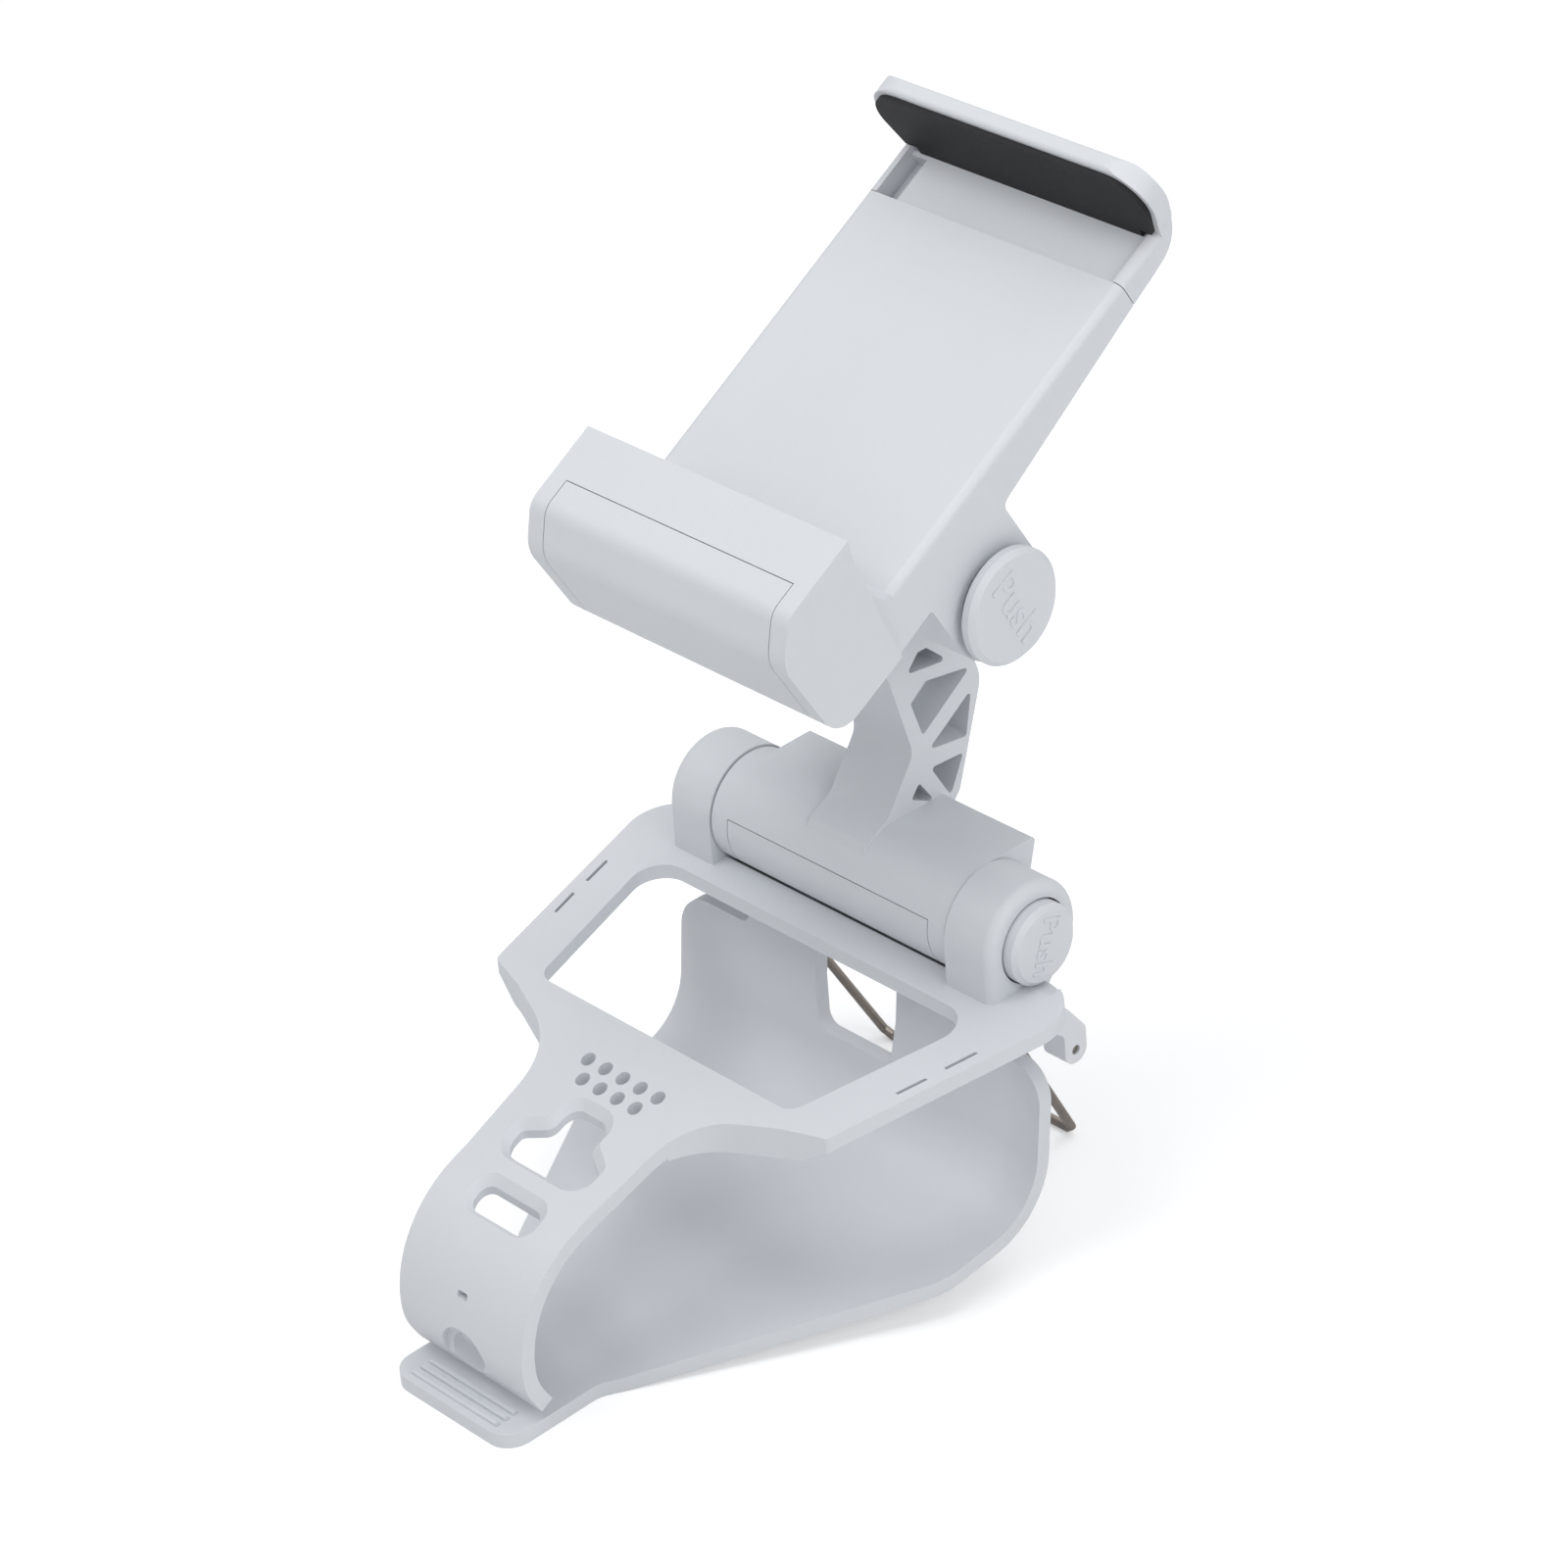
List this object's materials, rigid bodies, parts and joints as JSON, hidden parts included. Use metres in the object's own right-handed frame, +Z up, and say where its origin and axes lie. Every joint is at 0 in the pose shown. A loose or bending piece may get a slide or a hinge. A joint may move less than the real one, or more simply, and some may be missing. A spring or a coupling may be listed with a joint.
{
  "type": "controller phone clip",
  "caption": "Clip that snaps over a game controller and carries a tilting, spring-jawed phone holder on a hinged arm, with a fold-out wire bail for standing on a table.",
  "frame": {"origin": "on the floor at the mid-plane, at half the depth of the whole part", "axes": "+X to the right as seen by the user, +Y to the back (away from the user), +Z up"},
  "size_m": [0.0898, 0.1362, 0.1623],
  "materials": {
    "pale_plastic": "fine satin moulded finish",
    "grip_rubber": "matt black rubber",
    "steel_wire": "drawn steel wire, dull",
    "spring_steel": "bright drawn spring wire",
    "pin_steel": "turned steel"
  },
  "bodies": {
    "cradle": {"cradle": "pale_plastic", "ear_cap": "pale_plastic", "lower_hinge_pin": "pin_steel"},
    "arm": {"arm": "pale_plastic", "barrel_cover": "pale_plastic"},
    "holder": {"holder_base": "pale_plastic", "jaw_cover": "pale_plastic", "lower_grip_pad": "grip_rubber", "back_cover": "pale_plastic", "cover_screws": "pin_steel", "upper_hinge_pin": "pin_steel", "upper_pin_cap": "pale_plastic"},
    "jaw": {"slider_jaw": "pale_plastic", "upper_grip_pad": "grip_rubber", "slide_springs": "spring_steel"},
    "lower_button": {"lower_button": "pale_plastic", "lower_detent_ring": "pale_plastic", "lower_button_spring": "spring_steel"},
    "upper_button": {"upper_button": "pale_plastic", "upper_detent_ring": "pale_plastic", "upper_button_spring": "spring_steel"},
    "bail": {"wire_bail": "steel_wire"}
  },
  "joints": [
    {"name": "arm_hinge", "type": "hinge", "parent": "cradle", "child": "arm", "pos_m": [0, 0.0237, 0.0529], "axis": [1, 0, 0], "range_deg": [-40, 40]},
    {"name": "holder_hinge", "type": "hinge", "parent": "arm", "child": "holder", "pos_m": [0, 0.029, 0.1053], "axis": [1, 0, 0], "range_deg": [-20, 40]},
    {"name": "jaw_slide", "type": "slide", "parent": "holder", "child": "jaw", "axis": [0, 0.8613, 0.5081], "range_m": [0, 0.022], "stiffness_N_per_m": 150, "springref_m": -0.01, "deforming": ["slide_springs"]},
    {"name": "lower_button_press", "type": "slide", "parent": "cradle", "child": "lower_button", "axis": [-1, 0, 0], "range_m": [0, 0.0025], "stiffness_N_per_m": 900, "springref_m": -0.001, "deforming": ["lower_button_spring"]},
    {"name": "upper_button_press", "type": "slide", "parent": "holder", "child": "upper_button", "axis": [-1, 0, 0], "range_m": [0, 0.0012], "stiffness_N_per_m": 900, "springref_m": -0.001, "deforming": ["upper_button_spring"]},
    {"name": "bail_hinge", "type": "hinge", "parent": "cradle", "child": "bail", "pos_m": [0, 0.025, 0.0354], "axis": [1, 0, 0], "range_deg": [-30, 30]}
  ]
}
